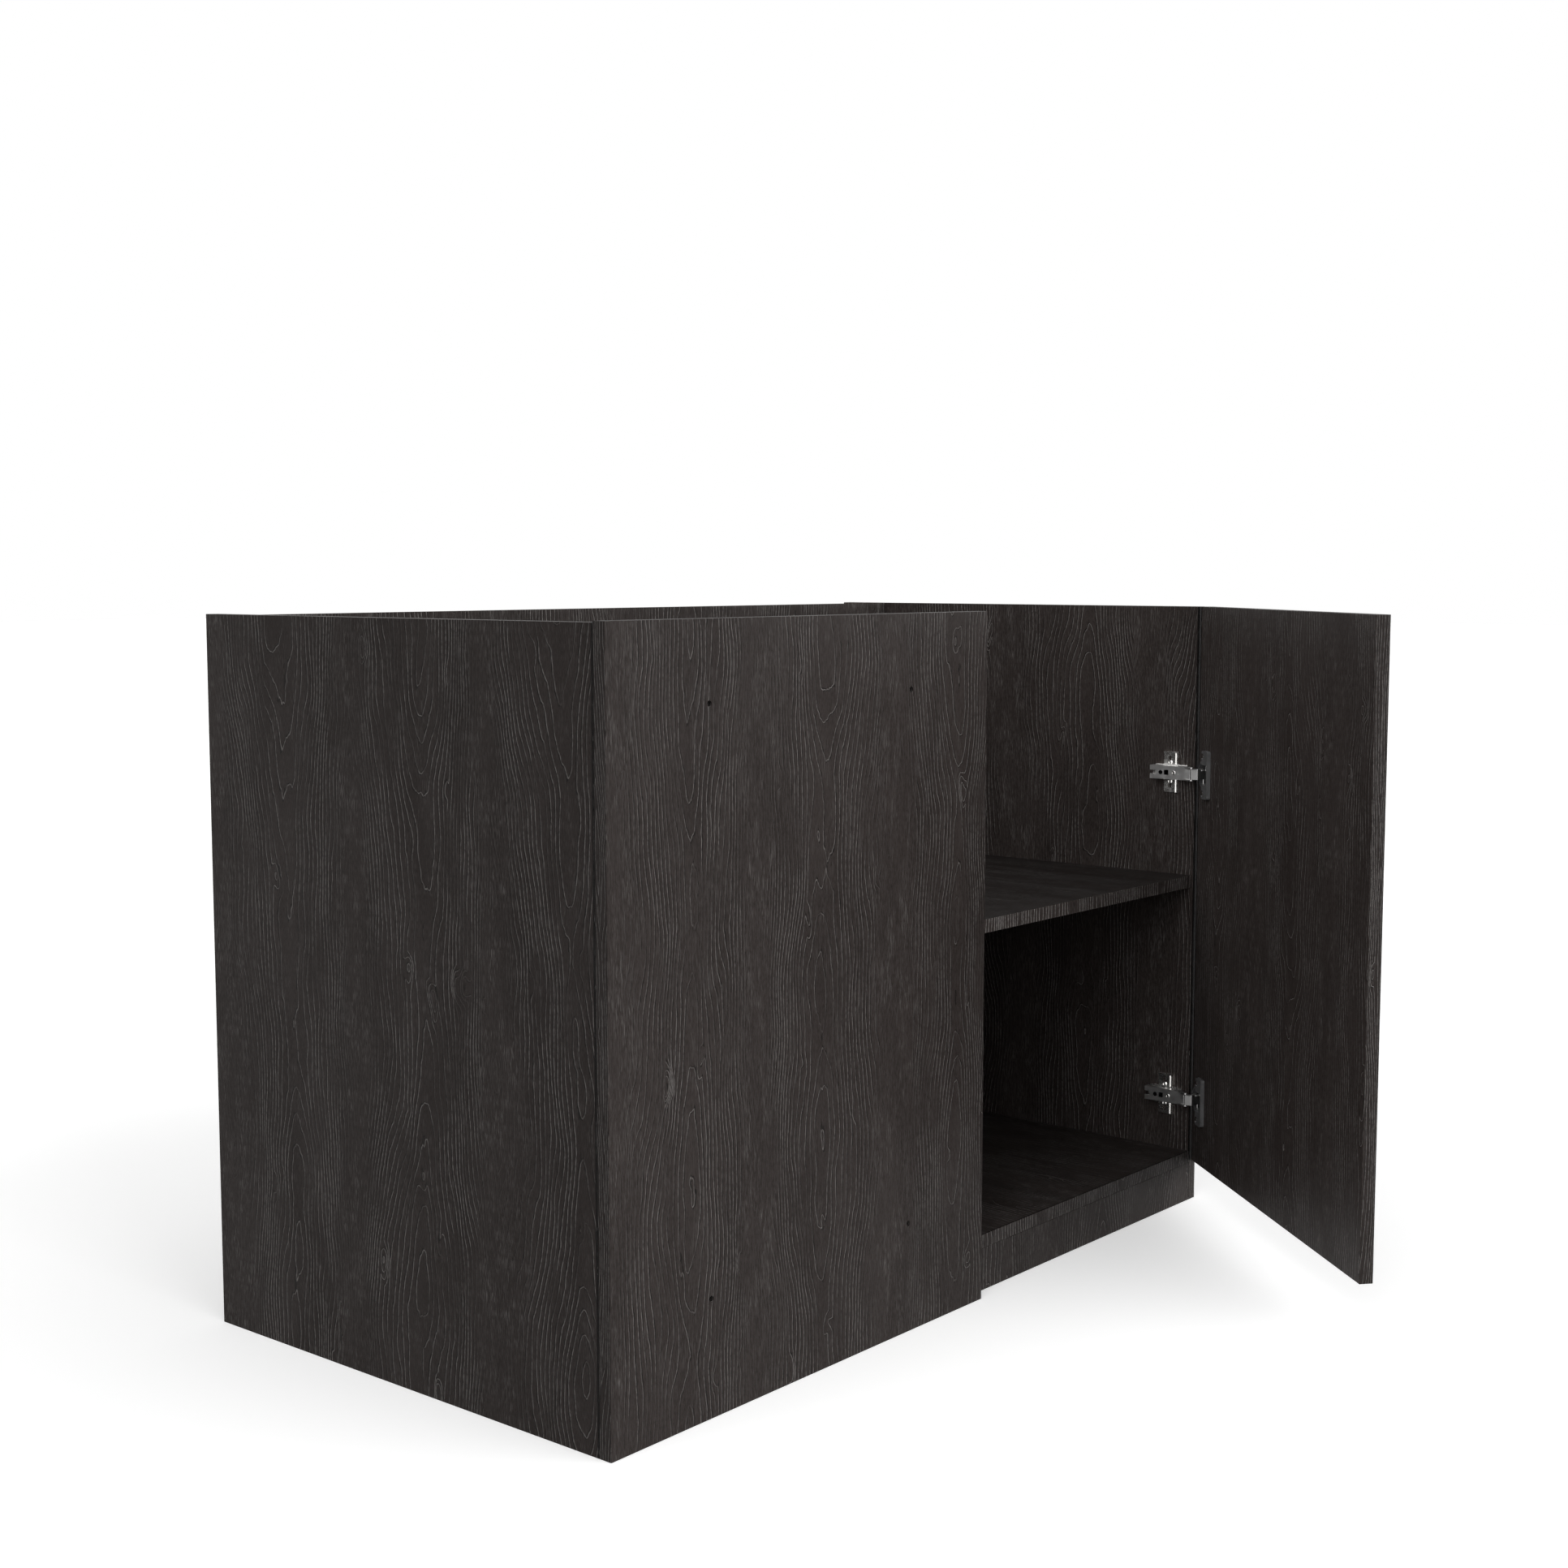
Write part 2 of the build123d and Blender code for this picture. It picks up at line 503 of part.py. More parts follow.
def arm_screw(y):
    """Adjusting screw with its head on the arm's top face."""
    top = (INNER - ARM_TOP, y, 0)
    head = rod(top, "x", -ARM_SCREW_HEAD_HEIGHT, ARM_SCREW_HEAD_RADIUS)
    socket_mouth = Pos(top[0] - ARM_SCREW_HEAD_HEIGHT, y, 0)
    socket = socket_mouth * Box(SCREW_SOCKET_DEPTH, SCREW_SOCKET, SCREW_SOCKET)
    return rod(top, "x", ARM_SCREW_DEPTH, ARM_SCREW_RADIUS) + head - socket


def plate_screw_places():
    return [(INNER, PLATE_LINE, z) for z in (-PLATE_SCREW_SPACING / 2, PLATE_SCREW_SPACING / 2)]


def plate_lips(front):
    """Raised lips of the plate: along its top edge, and two up each wing behind its front edge."""
    low, high = INNER - PLATE_BASE - PLATE_LIP_HEIGHT, INNER
    lips = [block((low, front, PLATE_HALF_HEIGHT - PLATE_LIP),
                  (high, PLATE_LINE + PLATE_BEHIND, PLATE_HALF_HEIGHT))]
    for y in (front, front + PLATE_LIP_SPACING):
        for end in (-PLATE_HALF_HEIGHT, PLATE_HALF_HEIGHT - PLATE_LIP):
            root = STRIP_HALF_HEIGHT if end > 0 else -STRIP_HALF_HEIGHT
            bottom, top = sorted((end, root))
            lips.append(block((low, y, bottom), (high, y + PLATE_LIP, top)))
    return lips


def mounting_plate():
    """Cross-shaped plate on the side, with a ridge that fills the arm's channel."""
    front, rear = PLATE_LINE - PLATE_AHEAD, PLATE_LINE + PLATE_BEHIND
    plate = block((INNER - PLATE_BASE, front, -PLATE_HALF_HEIGHT), (INNER, rear, PLATE_HALF_HEIGHT))
    plate = fillet(plate.edges().filter_by(Axis.X), PLATE_CORNER)
    plate = plate + block((INNER - PLATE_BASE, STRIP_FRONT, -STRIP_HALF_HEIGHT),
                          (INNER, STRIP_REAR, STRIP_HALF_HEIGHT))
    plate = plate + block((INNER - ARM_TOP + ARM_SHEET, RIDGE_FRONT, -RIDGE_HALF_WIDTH),
                          (INNER, RIDGE_REAR, RIDGE_HALF_WIDTH))
    for lip in plate_lips(front):
        plate = plate + lip
    for z in (-PLATE_SLOT_SPACING / 2, PLATE_SLOT_SPACING / 2):
        slot = extrude(SlotOverall(PLATE_SLOT_LENGTH, 2 * (PLATE_SCREW_RADIUS + FIT)), PLATE_BASE)
        plate = plate - Pos(INNER, PLATE_LINE, z) * Rot(0, -90, 0) * slot
    holes = [arm_screw_hole(y) for y in (SIDE_SCREW_Y, DEPTH_SCREW_Y)]
    return cut_all(plate, holes + [arm_window()])


def plate_screw(point):
    """Euro screw through the plate's slot into the side."""
    face = (point[0] - PLATE_BASE, point[1], point[2])
    shank = rod(face, "x", PLATE_BASE + PLATE_SCREW_DEPTH, PLATE_SCREW_RADIUS)
    head = rod(face, "x", -PLATE_SCREW_HEAD_HEIGHT, PLATE_SCREW_HEAD_RADIUS)
    socket_mouth = Pos(face[0] - PLATE_SCREW_HEAD_HEIGHT, point[1], point[2])
    return shank + head - socket_mouth * Box(2 * SCREW_SOCKET_DEPTH, SCREW_SOCKET, SCREW_SOCKET)


def plate_screw_hole(point):
    return rod(point, "x", PLATE_SCREW_DEPTH + DOWEL_END_PLAY, PLATE_SCREW_RADIUS + FIT)


def cup_bore():
    x, y = on_closed_door(CUP_MIDDLE)
    return rod((x, y, 0), "y", -CUP_BORE_DEPTH, CUP_BORE_RADIUS)


def cup_pocket():
    """Room for the links inside the cup, open through the flange and the cover."""
    x, y = on_closed_door(CUP_MIDDLE)
    round_room = rod((x, y + COVER_THICKNESS + FLANGE_THICKNESS, 0), "y",
                     -(POCKET_DEPTH + COVER_THICKNESS + FLANGE_THICKNESS), POCKET_RADIUS)
    limits = block((x - CUP_BORE_RADIUS, y - CUP_BORE_DEPTH, -MOUTH_HALF_HEIGHT),
                   (x + CUP_BORE_RADIUS, y + COVER_THICKNESS + FLANGE_THICKNESS, MOUTH_HALF_HEIGHT))
    return round_room & limits


def wing(near, thickness, lift):
    """Plate on the door's inner face, from near, beyond the cup's middle, to the wing's far edge."""
    x, y = on_closed_door(CUP_MIDDLE)
    plate = block((x - WING_REAR, y + lift, -WING_HALF_HEIGHT),
                  (x - near, y + lift + thickness, WING_HALF_HEIGHT))
    return fillet(plate.edges().filter_by(Axis.Y), WING_CORNER)


def cup_screw_places():
    x, y = on_closed_door(CUP_MIDDLE)
    return [(x - CUP_SCREW_OFFSET, y + FLANGE_THICKNESS, z)
            for z in (-CUP_SCREW_SPACING / 2, CUP_SCREW_SPACING / 2)]


def cup_screw_hole(point):
    return rod(point, "y", -(CUP_SCREW_LENGTH + DOWEL_END_PLAY), SCREW_RADIUS + FIT)


def hinge_cup():
    """Cup with its thin flange, pressed into the door's bore."""
    x, y = on_closed_door(CUP_MIDDLE)
    cup = rod((x, y, 0), "y", -CUP_DEPTH, CUP_BORE_RADIUS - CUP_PLAY)
    cup = cup + rod((x, y, 0), "y", FLANGE_THICKNESS, FLANGE_RADIUS) + wing(0, FLANGE_THICKNESS, 0)
    cup = cup - cup_pocket()
    pins = [upright(CUP_LONG, -MOUTH_HALF_HEIGHT - PIN_ROOT, 0, PIVOT_RADIUS + FIT),
            upright(CUP_SHORT, 0, MOUTH_HALF_HEIGHT + PIN_ROOT, PIVOT_RADIUS + FIT)]
    return cut_all(cup, pins + [cup_screw_hole(point) for point in cup_screw_places()])


def cup_cover():
    """Raised cover over the wing, open at the mouth and round the screws."""
    x, y = on_closed_door(CUP_MIDDLE)
    cover = wing(COVER_NEAR, COVER_THICKNESS, FLANGE_THICKNESS)
    mouth = block((x - COVER_MOUTH_REAR, y, -MOUTH_HALF_HEIGHT),
                  (x + CUP_BORE_RADIUS, y + BOARD, MOUTH_HALF_HEIGHT))
    wells = [rod(point, "y", COVER_THICKNESS, SCREW_HEAD_RADIUS + COVER_SCREW_PLAY)
             for point in cup_screw_places()]
    return cut_all(cover, [mouth] + wells)


def door():
    panel = board((DOOR_LEFT, DOOR_FACE - BOARD, DOOR_BOTTOM), (DOOR_RIGHT, DOOR_FACE, CARCASS_HEIGHT))
    for height in HINGE_HEIGHTS.values():
        tools = [cup_bore()] + [cup_screw_hole(point) for point in cup_screw_places()]
        panel = cut_all(panel, [Pos(0, 0, height) * tool for tool in tools])
    return opened(panel)


# ---- the nodes --------------------------------------------------------------------------------------
def carcass_nodes():
    j = carcass_joinery()
    pins = shelf_pin_places()
    hinge_holes = [Pos(0, 0, height) * plate_screw_hole(point)
                   for height in HINGE_HEIGHTS.values() for point in plate_screw_places()]
    pin_holes = [shelf_pin_hole(point, side) for point, side in pins]
    boards = {
        "side_panel_left": cut_all(side_panel(-1), pin_holes),
        "side_panel_right": cut_all(side_panel(1), pin_holes + hinge_holes),
        "bottom_panel": bottom_panel(),
        "plinth": plinth(),
        "rear_plinth": rear_plinth(),
        "rear_stretcher_top": rear_stretcher(TOP_STRETCHER_TOP),
        "rear_stretcher_bottom": rear_stretcher(FLOOR_TOP + STRETCHER_HEIGHT),
        "blind_front_panel": blind_front_panel(),
    }
    nodes = {name: drilled(piece, j.holes) for name, piece in boards.items()}
    nodes["back_panel"] = back_panel()
    nodes["shelf"] = shelf()
    nodes["shelf_pins"] = group([shelf_pin(point, side) for point, side in pins])
    nodes["dowels"] = group(j.dowels)
    nodes["cam_locks"] = group(j.cams)
    nodes["cam_bolts"] = group(j.bolts)
    nodes["angle_brackets"] = group(j.brackets)
    nodes["bracket_screws"] = group(j.screws)
    return nodes


def drilled(piece, holes):
    """Piece cut by the holes that reach it."""
    bounds = piece.bounding_box()
    reaching = [hole for hole in holes if overlap(bounds, hole.bounding_box())]
    return cut_all(piece, reaching)


def overlap(a, b):
    pairs = [(a.min.X, a.max.X, b.min.X, b.max.X), (a.min.Y, a.max.Y, b.min.Y, b.max.Y),
             (a.min.Z, a.max.Z, b.min.Z, b.max.Z)]
    return all(low_a < high_b and low_b < high_a for low_a, high_a, low_b, high_b in pairs)


def hinge_nodes():
    nodes = {}
    for name, height in HINGE_HEIGHTS.items():
        pieces = {
            "hinge_arm": hinge_arm(),
            "mounting_plate": mounting_plate(),
            "arm_pins": group(arm_pin_solids()),
            "arm_screws": group([arm_screw(y) for y in (SIDE_SCREW_Y, DEPTH_SCREW_Y)]),
            "plate_screws": group([plate_screw(point) for point in plate_screw_places()]),
            "long_link": long_link(),
            "short_link": short_link(),
            "hinge_cup": opened(hinge_cup()),
            "cup_cover": opened(cup_cover()),
            "cup_pins": opened(group(cup_pin_solids())),
            "cup_screws": opened(group([wood_screw(point, "y", -1, CUP_SCREW_LENGTH)
                                        for point in cup_screw_places()])),
        }
        for piece_name, piece in pieces.items():
            nodes[f"{piece_name}_{name}"] = Pos(0, 0, height) * piece
    return nodes


NODES = {**carcass_nodes(), "door": door(), **hinge_nodes()}
os.makedirs("parts", exist_ok=True)
for node_name, node_shape in NODES.items():
    node_shape.label = node_name
    export_step(node_shape, f"parts/{node_name}.step")
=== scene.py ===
import math

import bpy
from mathutils import Matrix, Vector


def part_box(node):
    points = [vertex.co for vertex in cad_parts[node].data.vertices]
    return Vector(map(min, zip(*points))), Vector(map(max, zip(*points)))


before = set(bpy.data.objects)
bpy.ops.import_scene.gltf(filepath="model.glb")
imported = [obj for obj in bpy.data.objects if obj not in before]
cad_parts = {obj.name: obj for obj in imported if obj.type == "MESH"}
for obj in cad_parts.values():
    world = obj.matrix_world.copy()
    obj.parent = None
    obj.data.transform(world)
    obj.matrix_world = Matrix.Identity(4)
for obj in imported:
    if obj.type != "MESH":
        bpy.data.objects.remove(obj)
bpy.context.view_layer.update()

MM = 0.001  # one millimetre, in metres

# ---------------------------------------------------------------- camera
CAMERA_PLACE = (-1.9514, -1.3934, 0.8271)
CAMERA_YAW = 50.04  # degrees from +Y towards +X
CAMERA_PITCH = 5.619  # degrees below the horizon
LENS = 50  # mm
SENSOR = 36  # mm


def make_camera():
    data = bpy.data.cameras.new("camera")
    data.lens = LENS
    data.sensor_width = SENSOR
    data.sensor_fit = "HORIZONTAL"
    camera = bpy.data.objects.new("camera", data)
    camera.location = CAMERA_PLACE
    camera.rotation_euler = (math.radians(90 - CAMERA_PITCH), 0, math.radians(-CAMERA_YAW))
    bpy.context.scene.collection.objects.link(camera)
    bpy.context.scene.camera = camera


# ---------------------------------------------------------------- node trees
class Tree:
    """Short names for the nodes that the materials use."""

    def __init__(self, tree):
        self.nodes = tree.nodes
        self.links = tree.links

    def put(self, socket, value):
        if hasattr(value, "is_output"):
            self.links.new(value, socket)
        elif value is not None:
            socket.default_value = value

    def make(self, kind, inputs=(), **settings):
        node = self.nodes.new(kind)
        for name, value in settings.items():
            setattr(node, name, value)
        for name, value in dict(inputs).items():
            self.put(node.inputs[name], value)
        return node

    def math(self, operation, a, b=None):
        node = self.make("ShaderNodeMath", operation=operation)
        for socket, value in zip(node.inputs, (a, b)):
            self.put(socket, value)
        return node.outputs[0]

    def add(self, a, b):
        return self.math("ADD", a, b)

    def sub(self, a, b):
        return self.math("SUBTRACT", a, b)

    def mul(self, a, b):
        return self.math("MULTIPLY", a, b)

    def least(self, a, b):
        return self.math("MINIMUM", a, b)

    def most(self, a, b):
        return self.math("MAXIMUM", a, b)

    def size(self, value):
        return self.math("ABSOLUTE", value)

    def length(self, x, y):
        return self.math("SQRT", self.add(self.mul(x, x), self.mul(y, y)))

    def vector(self, x, y, z):
        return self.make("ShaderNodeCombineXYZ", {"X": x, "Y": y, "Z": z}).outputs[0]

    def split(self, vector):
        return self.make("ShaderNodeSeparateXYZ", {"Vector": vector}).outputs

    def surface(self):
        """The object's own coordinates and normals."""
        return self.make("ShaderNodeTexCoord").outputs

    def noise(self, vector, scale, detail, roughness):
        node = self.make(
            "ShaderNodeTexNoise",
            {"Vector": vector, "Scale": scale, "Detail": detail, "Roughness": roughness},
            noise_dimensions="3D",
        )
        return node.outputs[0]

    def ramp(self, value, low, high, to_low=0.0, to_high=1.0):
        node = self.make(
            "ShaderNodeMapRange",
            {"Value": value, "From Min": low, "From Max": high, "To Min": to_low, "To Max": to_high},
            interpolation_type="SMOOTHSTEP",
            clamp=True,
        )
        return node.outputs[0]

    def mix(self, factor, a, b):
        node = self.make("ShaderNodeMix", data_type="FLOAT")
        for socket, value in zip((node.inputs[0], node.inputs[2], node.inputs[3]), (factor, a, b)):
            self.put(socket, value)
        return node.outputs[0]

    def mix_color(self, factor, a, b):
        node = self.make("ShaderNodeMix", data_type="RGBA")
        for socket, value in zip((node.inputs[0], node.inputs[6], node.inputs[7]), (factor, a, b)):
            self.put(socket, value)
        return node.outputs[2]

    def scaled(self, color, factor):
        node = self.make("ShaderNodeVectorMath", {"Vector": color, "Scale": factor}, operation="SCALE")
        return node.outputs[0]

    def bump(self, height, strength, relief):
        node = self.make("ShaderNodeBump", {"Strength": strength, "Distance": relief, "Height": height})
        return node.outputs[0]


def group_tree(name, inputs, outputs):
    group = bpy.data.node_groups.new(name, "ShaderNodeTree")
    for direction, sockets in (("INPUT", inputs), ("OUTPUT", outputs)):
        for socket in sockets:
            kind = "NodeSocketVector" if socket == "Place" else "NodeSocketFloat"
            group.interface.new_socket(socket, in_out=direction, socket_type=kind)
    tree = Tree(group)
    return group, tree, tree.make("NodeGroupInput").outputs, tree.make("NodeGroupOutput").inputs


def new_material(name):
    material = bpy.data.materials.new(name)
    material.use_nodes = True
    tree = Tree(material.node_tree)
    tree.nodes.clear()
    output = tree.make("ShaderNodeOutputMaterial")
    return material, tree, output


def principled(t, output, inputs):
    shader = t.make("ShaderNodeBsdfPrincipled", inputs)
    t.links.new(shader.outputs[0], output.inputs[0])


NOISE_SPREAD = (0.3, 0.7)  # where most of a noise's values lie

# ---------------------------------------------------------------- grain of the printed foil
# Lengths are millimetres on the foil: width across the grain, length along it. A swell is a noise
# of that size and height, and a layer's ramp is (from low, from high, to low, to high).
RING_PITCH = 5.4  # from line to line, beside a heart
HEART_PITCH = 108.0  # half the way from one heart of the figure to the next
HEART_ROUND = 16.0  # how wide the arches' tops are
HEART_STEP = 53.0  # moves the hearts from board to board, times the board's seed
HEART_DRIFT = dict(height=120.0, width=260.0, length=900.0)  # how far the hearts wander
CLIMB = dict(height=16.0, width=900.0, length=420.0)  # rings along the grain, for the arches
WAVE = dict(height=4.6, width=40.0, length=130.0)
TREMOR = dict(height=0.38, width=7.0, length=22.0)
SWELLS = ((7.3, CLIMB), (15.1, WAVE), (21.9, TREMOR))  # each with its shift of the seed
KNOT_SHIFT = 27.7
KNOT = dict(width=26.0, length=80.0)
KNOT_RAMP = (0.66, 0.90, 0.0, 4.0)
SLOPE_STEP = 0.3  # over which the rings' slope is measured
LEAST_SLOPE = 0.03  # rings to the mm, so that flat places don't turn into broad lines
LINE_HALF_WIDTH = 0.70
LINE_CORE = 0.2  # share of it at full strength
SHADE_OFFSET = 1.1  # from the middle of a line to that of the dark one beside it, a painted shade on the low side of the raised line

PATCHES = dict(shift=3.1, width=30, length=110, detail=3.0, roughness=0.6)  # lined and calm places
PATCHES_RAMP = (0.38, 0.56, 0.22, 1.15)
DASHES = dict(shift=11.7, width=1.2, length=4.5, detail=2.0, roughness=0.6)  # breaks in the lines
DASHES_RAMP = (0.36, 0.60, 0.45, 1.60)
FLECKS = dict(shift=23.0, width=0.55, length=13, detail=1.5, roughness=0.6)  # single pores
FLECKS_RAMP = (0.52, 0.66)
PORED = dict(shift=31.0, width=16, length=60, detail=4.0, roughness=0.65)  # where they crowd
PORED_RAMP = (0.42, 0.64, 0.14, 0.64)
CLOUD = dict(shift=41.0, width=60, length=240, detail=4.0, roughness=0.55)  # slow change of colour
FIGURE_RAMP = (HEART_PITCH * 0.86, HEART_PITCH * 0.60)  # lines fade far from a heart
PLAIN_LINES = 0.15  # what is left of them there
PORES_IN_FIGURE = 0.5  # share of the pores that the figure takes away


def stretched_noise(t, across, along, seed, width, length, detail=1.0, roughness=0.5):
    place = t.vector(t.mul(across, 1 / width), t.mul(along, 1 / length), seed)
    return t.noise(place, 1.0, detail, roughness)


def swell(t, across, along, seed, facts):
    noise = stretched_noise(t, across, along, seed, facts["width"], facts["length"])
    return t.mul(t.sub(noise, 0.5), facts["height"])


def make_figure_group():
    """Rings of a flat-sawn board as one rising number, and the distance from the figure's heart."""
    group, t, given, result = group_tree("figure", ("Place",), ("Rings", "Heart"))
    across, along, seed = t.split(given["Place"])
    drifted = t.add(across, swell(t, across, along, seed, HEART_DRIFT))
    heart = t.math("PINGPONG", t.add(drifted, t.mul(seed, HEART_STEP)), HEART_PITCH)
    rounded = t.math("SQRT", t.add(t.mul(heart, heart), HEART_ROUND ** 2))
    rings = t.mul(rounded, 1 / RING_PITCH)
    for shift, facts in SWELLS:
        rings = t.add(rings, swell(t, across, along, t.add(seed, shift), facts))
    knots = stretched_noise(t, across, along, t.add(seed, KNOT_SHIFT), **KNOT)
    rings = t.add(rings, t.ramp(knots, *KNOT_RAMP))
    t.put(result["Rings"], rings)
    t.put(result["Heart"], heart)
    return group


def make_grain_group(figure):
    """Line, shade, pores and cloud of the foil at a place given in mm across and along the grain.
    Edge is one on a board's edges, whose bands are lined all over."""
    group, t, given, result = group_tree("grain", ("Place", "Edge"), ("Line", "Shade", "Pores", "Cloud"))
    place = given["Place"]

    def figure_at(dx, dy):
        moved = t.make("ShaderNodeVectorMath", operation="ADD")
        t.put(moved.inputs[0], place)
        moved.inputs[1].default_value = (dx, dy, 0)
        node = t.make("ShaderNodeGroup", node_tree=figure)
        t.put(node.inputs[0], moved.outputs[0])
        return node.outputs

    here = figure_at(0, 0)
    rings = here["Rings"]
    slope_across = t.mul(t.sub(figure_at(SLOPE_STEP, 0)["Rings"], rings), 1 / SLOPE_STEP)
    slope_along = t.mul(t.sub(figure_at(0, SLOPE_STEP)["Rings"], rings), 1 / SLOPE_STEP)
    slope = t.most(t.length(slope_across, slope_along), LEAST_SLOPE)
    phase = t.sub(t.math("FRACT", rings), 0.5)
    from_line = t.mul(t.math("DIVIDE", phase, slope), t.math("SIGN", slope_across))

    across, along, seed = t.split(place)

    def layer(shift, **facts):
        return stretched_noise(t, across, along, t.add(seed, shift), **facts)

    def stripe(distance):
        return t.ramp(t.size(distance), LINE_HALF_WIDTH, LINE_HALF_WIDTH * LINE_CORE)

    figured = t.most(t.ramp(here["Heart"], *FIGURE_RAMP), given["Edge"])
    patches = t.most(t.ramp(layer(**PATCHES), *PATCHES_RAMP), given["Edge"])
    dashes = t.ramp(layer(**DASHES), *DASHES_RAMP)
    lined = t.add(t.mul(figured, 1 - PLAIN_LINES), PLAIN_LINES)
    strength = t.mul(t.mul(patches, dashes), lined)
    t.put(result["Line"], t.mul(stripe(from_line), strength))
    t.put(result["Shade"], t.mul(stripe(t.sub(from_line, SHADE_OFFSET)), strength))

    flecks = t.ramp(layer(**FLECKS), *FLECKS_RAMP)
    pored = t.ramp(layer(**PORED), *PORED_RAMP)
    plain = t.add(t.mul(figured, -PORES_IN_FIGURE), 1.0)
    t.put(result["Pores"], t.mul(t.mul(flecks, pored), plain))
    t.put(result["Cloud"], layer(**CLOUD))
    return group


# ---------------------------------------------------------------- foil on a board
FOIL_DARK = (0.0149, 0.0116, 0.0106, 1)
FOIL_BASE = (0.0313, 0.0255, 0.0238, 1)
FOIL_SHADE = (0.0056, 0.0045, 0.0041, 1)
FOIL_PALE = (0.2083, 0.1962, 0.1884, 1)
# Painted highlight along the boards' edges, broken up like wear.
FOIL_EDGE_HIGHLIGHT_AND_WEAR = (0.0473, 0.0422, 0.0392, 1)
FOIL_SPECULAR = 0.06
FOIL_ROUGHNESS = (0.50, 0.40)  # over the cloud
LINE_ROUGHNESS = 0.10  # more on a line
FIBRE = dict(width=0.6, length=5, detail=2.0, roughness=0.6)
FIBRE_COLOR = (-0.5, 0.5)  # its share in the way from FOIL_DARK to FOIL_BASE
CLOUD_COLOR = (0.25, 0.75)
SHADE_COLOR = 2.6  # how strongly the dark side of a line takes FOIL_SHADE, its painted shade
SHADE_MOST = 0.95
LINE_COLOR = 0.46  # how strongly lines and pores take FOIL_PALE
PORE_COLOR = 0.70
EDGE_HIGHLIGHT_AND_WEAR_REACH = (1.1, 0.1)  # mm from a board's edge, over which a painted highlight lies, patchy like wear
EDGE_HIGHLIGHT_AND_WEAR_NOISE = (0.09, 4.0, 0.7)  # scale, detail and roughness
EDGE_HIGHLIGHT_AND_WEAR_RAMP = (0.45, 0.75, 0.0, 0.8)
FOIL_BUMP = 0.7  # strength
FOIL_RELIEF = 0.0003  # m
LINE_RELIEF = 0.8  # shares of it
PORE_RELIEF = 0.4
FIBRE_RELIEF = 0.12
SHADE_RELIEF = 0.5
EDGE_FIGURE = 1.5  # strength of the lines on the edges
EDGE_CROWDING = 1.9  # and how much closer together they stand
EDGE_START = 40  # mm from a face's own part of the figure to its edges' part
FACING = 0.7  # least part of a unit normal for a face to look one way
FACE_DEPTH = 0.1  # mm from a board's face that still count as the face
SEAM_SHADE_HALF_WIDTH = 0.0016  # m each side of the carcass's front plane, darkened there as painted shade in the seams
SEAM_SHADE_FADE = (1.3, 0.7)  # of the half width, from no shade to full shade
# Colour scale of painted shade, in the seams and beside the door's hinged edge.
PAINTED_SHADE_TONE = 0.1
HINGE_SHADE = 2.6  # mm of painted shade on the door's inner face beside its hinged edge
HINGE_FADE = (1.2, 0.8)
FRONT_BELOW_DOOR = 1.0  # colour scale of the right side's front edge below the door, which stands in the light there; above the door's bottom the edge gets front, a painted shade of the open door


def board_axes(node, turn, order):
    """Middle and half size of a board, in mm, with its axes as (across, along, through)."""
    turned = Matrix.Rotation(-turn, 3, "Z")
    places = [turned @ v.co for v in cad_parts[node].data.vertices]
    low = [min(p[i] for p in places) / MM for i in order]
    high = [max(p[i] for p in places) / MM for i in order]
    middle = [(a + b) / 2 for a, b in zip(low, high)]
    half = [(b - a) / 2 for a, b in zip(low, high)]
    return middle, half


def foil_coordinates(t, node, order, turn, seed, edge_grain):
    """Place on the foil in mm, distance in mm from the board's nearest edge, whether a face is an
    edge, the place in the board in mm, and the board's half size. Edge_grain says whether the lines
    on the board's ends run along the end or across it."""
    middle, half = board_axes(node, turn, order)
    source = t.surface()

    def in_board(vector):
        rotate = t.make("ShaderNodeVectorRotate", {"Angle": -turn}, rotation_type="Z_AXIS")
        t.put(rotate.inputs["Vector"], vector)
        parts = t.split(rotate.outputs[0])
        return [parts[i] for i in order]

    place = [t.sub(t.mul(part, 1 / MM), m) for part, m in zip(in_board(source["Object"]), middle)]
    across, along, through = place
    facing = [t.math("GREATER_THAN", t.size(part), FACING) for part in in_board(source["Normal"])]
    on_side, on_end = facing[0], facing[1]
    edge_across = t.add(t.mul(through, EDGE_CROWDING), half[0] + EDGE_START)
    foil_across = t.mix(on_side, across, edge_across)
    if edge_grain == "along":
        foil_across = t.mix(on_end, foil_across, edge_across)
        foil_along = t.mix(on_end, along, across)
    else:
        foil_along = t.mix(on_end, along, t.add(through, half[1]))
    a, b, c = (t.sub(h, t.size(part)) for h, part in zip(half, place))
    edge = t.most(t.least(a, b), t.least(t.most(a, b), c))
    return t.vector(foil_across, foil_along, seed), edge, t.most(on_side, on_end), place, half


